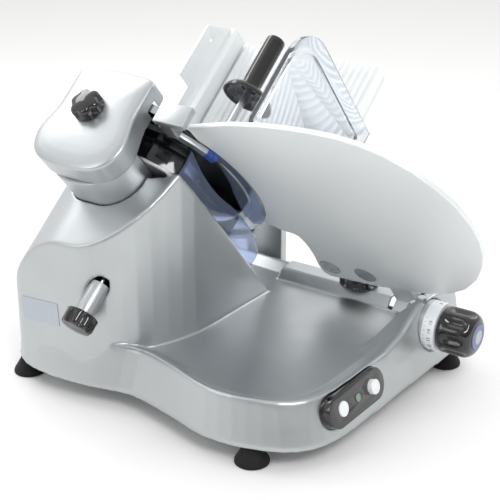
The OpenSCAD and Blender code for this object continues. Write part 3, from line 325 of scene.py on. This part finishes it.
# Copy of a node with its flat faces merged and its edges rounded, as a real casting or moulding has
def roundedCopy(node, widthMm):
    mesh = nodes[node].data.copy()
    shape = bmesh.new()
    shape.from_mesh(mesh)
    bmesh.ops.remove_doubles(shape, verts=shape.verts, dist=rounding["weldMm"] / perMetre)
    bmesh.ops.dissolve_limit(shape, angle_limit=math.radians(rounding["flatDeg"]), verts=shape.verts,
                             edges=shape.edges)
    shape.to_mesh(mesh)
    shape.free()
    piece = meshObject(node + "_rounded", mesh)
    edge = piece.modifiers.new("edge", "BEVEL")
    edge.width = widthMm / perMetre
    edge.segments = rounding["segments"]
    edge.limit_method = "ANGLE"
    edge.angle_limit = math.radians(rounding["cornerDeg"])
    bake(piece)
    return finishPiece(piece, node)


for node, width in rounding["widthMm"].items():
    roundedCopy(node, width)
print("edges rounded:", len(rounding["widthMm"]))

# The casting is hollow, and tears in cells of 2 mm or more. Its shoulder, on the left, and the foot of the
# housing, on the deck, are relaxed more, so that they flow into what is next to them.
casting = {"cellMm": 1.5, "broadPasses": 40, "finePasses": 12, "keep": 0.25, "sharpDeg": 60,
           "shoulderRise": (150, 190), "shoulderLeft": (20, 60), "shoulderShare": 0.5,
           "footRise": (84, 90), "footFall": (118, 140), "footLeft": (-60, -20), "footWall": (215, 230)}
capCasting = {"cellMm": 1.6, "finePasses": 10}


# Copy of a node rebuilt in small even cells, then relaxed, then thinned to a share of its faces.
# Each pass has a count of steps, and a function that gives how much each point is relaxed, from 0 to 1.
def relaxedCopy(name, node, cellMm, passes):
    piece = meshObject(name, nodes[node].data.copy())
    cells = piece.modifiers.new("cells", "REMESH")
    cells.mode = "VOXEL"
    cells.voxel_size = cellMm / perMetre
    bake(piece)
    for count, weightAt in passes:
        group = piece.vertex_groups.new(name="flow")
        for vertex in piece.data.vertices:
            group.add([vertex.index], weightAt(vertex.co * perMetre), "REPLACE")
        relax = piece.modifiers.new("relax", "SMOOTH")
        relax.iterations = count
        relax.vertex_group = group.name
        bake(piece)
        piece.vertex_groups.clear()
    fewer = piece.modifiers.new("fewer", "DECIMATE")
    fewer.ratio = casting["keep"]
    bake(piece)
    return finishPiece(piece, node, sharpDeg=casting["sharpDeg"])


def castingWeight(point):
    left, height = machine["bladeX"] - point.x, point.z
    shoulder = ramp(height, *casting["shoulderRise"]) * ramp(left, *casting["shoulderLeft"])
    foot = ramp(height, *casting["footRise"]) * (1 - ramp(height, *casting["footFall"]))
    foot *= ramp(left, *casting["footLeft"]) * (1 - ramp(left, *casting["footWall"]))
    return max(casting["shoulderShare"] * shoulder, foot)


def everywhere(point):
    return 1.0


body = relaxedCopy("casting_relaxed", "base_casting", casting["cellMm"],
                   [(casting["broadPasses"], castingWeight), (casting["finePasses"], everywhere)])
cap = relaxedCopy("sharpener_cap_relaxed", "sharpener_cap", capCasting["cellMm"],
                  [(capCasting["finePasses"], everywhere)])
print("castings relaxed:", len(body.data.vertices), len(cap.data.vertices))

# Heights of the finger hollows are shares of the knob's height, where they begin and where they end
knob = {"around": 96, "hollowPower": 1.6, "sharpDeg": 40, "chamferMm": 1.5, "wallRows": 6, "edgeRows": 7,
        "crownRows": 6, "hollowLow": (0.05, 0.3), "hollowHigh": (0.8, 1.0)}


# Knob with finger hollows round its rim: rows of a profile, pressed in where the fingers go
def hollowedKnob(name, node, spot, profile, hollows, depthMm, lowEnd, highEnd):
    shape = bmesh.new()
    rows = []
    top = profile[-1][1]
    wallRadius = profile[2][0]
    for radius, height in profile:
        band = ramp(height / top, *lowEnd) * (1 - ramp(height / top, *highEnd))
        row = []
        for i in range(knob["around"]):
            angle = 2 * math.pi * i / knob["around"]
            wave = 0.5 + 0.5 * math.cos(hollows * angle)
            size = radius - depthMm * wave ** knob["hollowPower"] * band * min(1, radius / wallRadius)
            point = Vector((size * math.cos(angle), size * math.sin(angle), height))
            row.append(shape.verts.new(point / perMetre))
        rows.append(row)
    joinRows(shape, rows)
    shape.faces.new(list(reversed(rows[0])))
    shape.faces.new(rows[-1])
    piece = meshObject(name, meshFrom(shape, name, spot))
    return finishPiece(piece, node, sharpDeg=knob["sharpDeg"])


# Profile from the foot up: a chamfer, a straight wall, a round edge and a low crown
def domedProfile(radius, height, edge, crown):
    chamfer, wallRows = knob["chamferMm"], knob["wallRows"]
    edgeRows, crownRows = knob["edgeRows"], knob["crownRows"]
    rows = [(radius - chamfer, 0), (radius, chamfer)]
    rows += [(radius, chamfer + (height - edge - chamfer) * i / wallRows) for i in range(1, wallRows + 1)]
    for i in range(1, edgeRows + 1):
        angle = math.pi / 2 * i / edgeRows
        rows.append((radius - edge + edge * math.cos(angle), height - edge + edge * math.sin(angle)))
    for i in range(1, crownRows):
        share = 1 - i / crownRows
        rows.append(((radius - edge) * share, height + crown * (1 - share * share)))
    return rows


smallKnobs = {
    "releaseKnob": {
        "node": "tie_rod_knob", "spot": frameAt(bladePoint(-46, 53, -287.3), -alongAxis, upBlade),
        "radius": 25, "height": 24, "edge": 6, "crown": 1.5, "hollows": 8, "depth": 4.5},
    "sharpenerTopKnob": {
        "node": "sharpener_knob", "spot": frameAt(bladePoint(8, 205.3, -38), upBlade, alongAxis),
        "radius": 24, "height": 19, "edge": 7, "crown": 2, "hollows": 6, "depth": 4},
    "lockKnob": {
        "node": "lock_knob", "spot": frameAt(basePoint(178, -253, 104.3), upward, rightward),
        "radius": 32, "height": 15.5, "edge": 5, "crown": 1, "hollows": 7, "depth": 4.5},
}
for name, values in smallKnobs.items():
    profile = domedProfile(values["radius"], values["height"], values["edge"], values["crown"])
    hollowedKnob(name, values["node"], values["spot"], profile, values["hollows"], values["depth"],
                 knob["hollowLow"], knob["hollowHigh"])

# The dial's knob has a foot, a wall, a wide round edge and a recess for its cap
dial = {"x": 124, "z": 96, "ringBack": -415.3, "ringWidth": 20, "inkRadius": 38.55, "capFront": -492.2,
        "knobRadius": 36, "hollows": 8, "hollowDepth": 6,
        "hollowLow": (0.15, 0.4), "hollowHigh": (0.75, 0.98),
        # inward from the wall, up
        "foot": [(9, 0), (3, 1.5), (0.5, 5)],
        "wallFrom": 8, "wallStep": 4, "wallRows": 8, "edgeCentre": (20.5, 38), "edgeReach": (15.5, 17.5),
        "edgeRows": 8, "recess": [(20.2, 55.2), (20.2, 52)],
        "numbers": 16, "places": 18, "numberMm": 7.5, "numberAlong": 13, "tickMm": 4, "tickAlong": 5}


def dialProfile():
    rows = [(dial["knobRadius"] - inward, height) for inward, height in dial["foot"]]
    rows += [(dial["knobRadius"], dial["wallFrom"] + dial["wallStep"] * i) for i in range(dial["wallRows"])]
    for i in range(1, dial["edgeRows"] + 1):
        angle = math.pi / 2 * i / dial["edgeRows"]
        rows.append((dial["edgeCentre"][0] + dial["edgeReach"][0] * math.cos(angle),
                     dial["edgeCentre"][1] + dial["edgeReach"][1] * math.sin(angle)))
    return rows + dial["recess"]


dialFoot = basePoint(dial["x"], dial["ringBack"] - dial["ringWidth"], dial["z"])
dialSpot = frameAt(dialFoot, towardsUser, upward)
hollowedKnob("dialKnobMoulding", "dial_knob", dialSpot, dialProfile(), dial["hollows"], dial["hollowDepth"],
             dial["hollowLow"], dial["hollowHigh"])
print("knobs made")


# Flat characters joined into one mesh, each set on the surface at its own frame
def inkMarks(name, marks, node, thickMm=0.08):
    shape = bmesh.new()
    for text, size, spot in marks:
        curve = bpy.data.curves.new("mark", "FONT")
        curve.body = text
        curve.size = size / perMetre
        curve.align_x = "CENTER"
        curve.align_y = "CENTER"
        curve.extrude = thickMm / perMetre
        holder = meshObject("mark", curve)
        mesh = evaluatedMesh(holder)
        mesh.transform(spot)
        shape.from_mesh(mesh)
        bpy.data.objects.remove(holder)
    return finishPiece(meshObject(name, meshFrom(shape, name)), node, replace=False, look="printedInk")


# Frame on the scale ring's surface, index places of so many round it and along from its back
def dialMark(index, places, along):
    angle = 2 * math.pi * index / places
    outward = Vector((math.sin(angle), 0, math.cos(angle)))
    centre = basePoint(dial["x"], dial["ringBack"] - along, dial["z"])
    origin = centre + outward * dial["inkRadius"] / perMetre
    return frameAt(origin, outward, Vector((math.cos(angle), 0, -math.sin(angle))))


marks = [(str(i), dial["numberMm"], dialMark(i, dial["places"], dial["numberAlong"]))
         for i in range(dial["numbers"])]
marks += [("I", dial["tickMm"], dialMark(i, 2 * dial["places"], dial["tickAlong"]))
          for i in range(2 * dial["numbers"])]
inkMarks("dialNumbers", marks, "scale_ring")

# The usual marks for on and off, printed on the two buttons: side, how far each stands out, and its mark
panel = {"x": -105, "z": 72, "face": -412.5, "spacing": 39, "markMm": 11, "clearMm": 0.12,
         "buttons": {"startMark": ("start_button", -1, 2, "I"), "stopMark": ("stop_button", 1, 7, "O")}}
for name, (node, side, out, text) in panel["buttons"].items():
    front = panel["face"] - out - panel["clearMm"]
    place = basePoint(panel["x"] + side * panel["spacing"], front, panel["z"])
    inkMarks(name, [(text, panel["markMm"], frameAt(place, towardsUser, rightward))], node)
print("marks printed")


# Flat sheet with round corners, lying in its own frame
def roundedSheet(name, node, spot, sheet):
    shape = bmesh.new()
    ring = []
    radius, steps = sheet["radius"], sheet["steps"]
    for corner in range(4):
        cx = (sheet["width"] / 2 - radius) * (1 if corner in (0, 3) else -1)
        cy = (sheet["height"] / 2 - radius) * (1 if corner in (0, 1) else -1)
        for i in range(steps + 1):
            angle = math.pi / 2 * (corner + i / steps)
            point = Vector((cx + radius * math.cos(angle), cy + radius * math.sin(angle), 0))
            ring.append(shape.verts.new(point / perMetre))
    raised = bmesh.ops.extrude_face_region(shape, geom=[shape.faces.new(ring)])
    bmesh.ops.translate(shape, vec=(0, 0, sheet["thick"] / perMetre),
                        verts=[item for item in raised["geom"] if isinstance(item, bmesh.types.BMVert)])
    bmesh.ops.recalc_face_normals(shape, faces=shape.faces)
    piece = meshObject(name, meshFrom(shape, name, spot))
    return finishPiece(piece, node, replace=False, look="badgeSheet")


# Badge on the left wall, left blank
badge = {"x": -234.9, "y": 59.5, "z": 128.5, "leanDeg": 4,
         "width": 74, "height": 37, "radius": 3, "thick": 0.9, "steps": 5}
badgeSpot = frameAt(basePoint(badge["x"], badge["y"], badge["z"]), -rightward, towardsUser)
roundedSheet("blankBadge", "base_casting",
             badgeSpot @ Matrix.Rotation(math.radians(badge["leanDeg"]), 4, "Z"), badge)

# Pale disc in the middle of the dial's cap
disc = {"width": 22, "height": 22, "radius": 10.9, "thick": 0.6, "steps": 10}
discSpot = frameAt(basePoint(dial["x"], dial["capFront"], dial["z"]), towardsUser, rightward)
roundedSheet("dialCapCentre", "dial_cap", discSpot, disc)


# Blue end of the bar beside the ring guard: a block that follows the blade's rim
barTip = {"radii": (161.4, 177.6), "outs": (-17.6, -8.4), "anglesDeg": (143, 149.4), "steps": 12,
          "edgeMm": 1.2, "edgeSegments": 2}


def makeBarTip():
    shape = bmesh.new()
    rows = []
    (inner, outer), (back, front) = barTip["radii"], barTip["outs"]
    first, last = barTip["anglesDeg"]
    for i in range(barTip["steps"] + 1):
        angle = math.radians(first + (last - first) * i / barTip["steps"])
        corners = ((inner, back), (outer, back), (outer, front), (inner, front))
        rows.append([shape.verts.new(bladePoint(radius * math.cos(angle), radius * math.sin(angle), out))
                     for radius, out in corners])
    joinRows(shape, rows)
    shape.faces.new(rows[0])
    shape.faces.new(rows[-1])
    bmesh.ops.recalc_face_normals(shape, faces=shape.faces)
    bmesh.ops.bevel(shape, geom=shape.edges[:], offset=barTip["edgeMm"] / perMetre,
                    segments=barTip["edgeSegments"], affect="EDGES", clamp_overlap=True)
    piece = meshObject("barTip", meshFrom(shape, "barTip"))
    return finishPiece(piece, "ring_bracket", replace=False, look="blueNylon")


makeBarTip()

# Clear strip that turns the slice off the blade: two bands folded along a ridge
strip = {"across": -106.8, "ridge": -109.6, "back": -59.6, "thickMm": 1.6, "steps": 6, "sharpDeg": 20,
         # up the blade, front edge, ridge
         "stations": [(97, -13, -35), (43, -21, -38), (-12, -20, -32), (-56, -12, -26), (-89, -8, -23),
                      (-125, -8, -20), (-155, -12, -24), (-177, -20, -32)]}


# Stations on a smooth curve through the given ones (Catmull-Rom), with steps from each to the next
def smoothStations(stations, steps):
    ends = [stations[0]] + stations + [stations[-1]]
    out = []
    for a, b, c, d in zip(ends, ends[1:], ends[2:], ends[3:]):
        for i in range(steps):
            t = i / steps
            out.append([0.5 * (2 * q + (r - p) * t + (2 * p - 5 * q + 4 * r - w) * t * t
                               + (3 * q - p - 3 * r + w) * t ** 3) for p, q, r, w in zip(a, b, c, d)])
    return out + [list(stations[-1])]


def makeStrip():
    shape = bmesh.new()
    rows = []
    for up, front, ridge in smoothStations(strip["stations"], strip["steps"]):
        line = [(strip["across"], front), (strip["ridge"], ridge), (strip["across"], strip["back"])]
        rows.append([shape.verts.new(bladePoint(across, up, out)) for across, out in line])
    joinRows(shape, rows, closed=False)
    piece = meshObject("clearStrip", meshFrom(shape, "clearStrip"))
    sheet = piece.modifiers.new("sheet", "SOLIDIFY")
    sheet.thickness = strip["thickMm"] / perMetre
    sheet.offset = 0
    bake(piece)
    return finishPiece(piece, "slice_deflector", sharpDeg=strip["sharpDeg"])


makeStrip()
print("strip and badge made")

# Plain paper floor, a hair below the feet
floorSheet = {"halfSizeM": 6, "dropMm": 0.5,
              "paper": {"colour": "#F4F4F3", "roughness": (0.7, 0.8), "grainMm": 4, "cloudMm": 400,
                        "relief": 0.02, "depthMm": 0.05, "sockets": {"Specular IOR Level": 0.2}}}
floorShape = bmesh.new()
bmesh.ops.create_grid(floorShape, x_segments=2, y_segments=2, size=floorSheet["halfSizeM"])
floor = meshObject("floorSheet", meshFrom(floorShape, "floorSheet"))
floor.location.z = -floorSheet["dropMm"] / perMetre
floor.data.materials.append(makeMaterial("matPaper", floorSheet["paper"]))

# A white room with four softboxes, brightest behind on the right and dimmest in front on the left
studio = {
    "colour": "#FFFFFF", "dimmest": 0.25, "brightest": 1.2, "brightWay": (0.6, 0.7, 0.4),
    "softboxes": [
        # place, aim, width and height in metres, then watts
        ((-1.2, -1.6, 2.0), (0, 0, 0.2), 1.0, 0.8, 27),
        ((1.8, -0.9, 1.5), (0, 0, 0.25), 0.9, 1.4, 8),
        ((-1.9, 0.9, 1.3), (0, 0, 0.25), 0.6, 1.2, 5),
        ((0.2, 1.7, 1.9), (0, 0, 0.3), 1.6, 0.7, 14),
    ],
}


def makeRoom():
    world = bpy.data.worlds.new("studio")
    bpy.context.scene.world = world
    world.use_nodes = True
    tree = world.node_tree
    backdrop = tree.nodes["Background"]
    backdrop.inputs["Color"].default_value = fromHex(studio["colour"])
    sky = addNode(tree, "ShaderNodeTexCoord")
    # Both of this node's sockets have one name, so they go by number
    toward = addNode(tree, "ShaderNodeVectorMath", {"operation": "DOT_PRODUCT"})
    toward.inputs[1].default_value = Vector(studio["brightWay"]).normalized()
    tree.links.new(sky.outputs["Generated"], toward.inputs[0])
    levels = {"From Min": -1, "From Max": 1, "To Min": studio["dimmest"], "To Max": studio["brightest"]}
    fade = addNode(tree, "ShaderNodeMapRange", levels, {"Value": toward.outputs["Value"]})
    tree.links.new(fade.outputs["Result"], backdrop.inputs["Strength"])


def makeSoftbox(name, place, aim, width, height, watts):
    lamp = bpy.data.lights.new(name, "AREA")
    lamp.shape = "RECTANGLE"
    lamp.size = width
    lamp.size_y = height
    lamp.energy = watts
    holder = meshObject(name, lamp)
    holder.location = place
    holder.rotation_euler = (Vector(place) - Vector(aim)).to_track_quat("Z", "Y").to_euler()


bpy.context.scene.view_settings.view_transform = "Standard"
makeRoom()
for i, values in enumerate(studio["softboxes"]):
    makeSoftbox("softbox" + str(i), *values)

# The photograph's own view
view = {"place": (-1439.82, -1174.16, 920.36), "azimuthDeg": -54.865, "elevationDeg": 22.226,
        "lensMm": 89.29, "sensorMm": 36, "nearM": 0.05, "farM": 30}
camera = bpy.data.cameras.new("photoCamera")
camera.sensor_width = view["sensorMm"]
camera.lens = view["lensMm"]
camera.clip_start = view["nearM"]
camera.clip_end = view["farM"]
eye = meshObject("photoCamera", camera)
eye.location = basePoint(*view["place"])
eye.rotation_euler = (math.radians(90 - view["elevationDeg"]), 0, math.radians(view["azimuthDeg"]))
bpy.context.scene.camera = eye
print("studio ready")
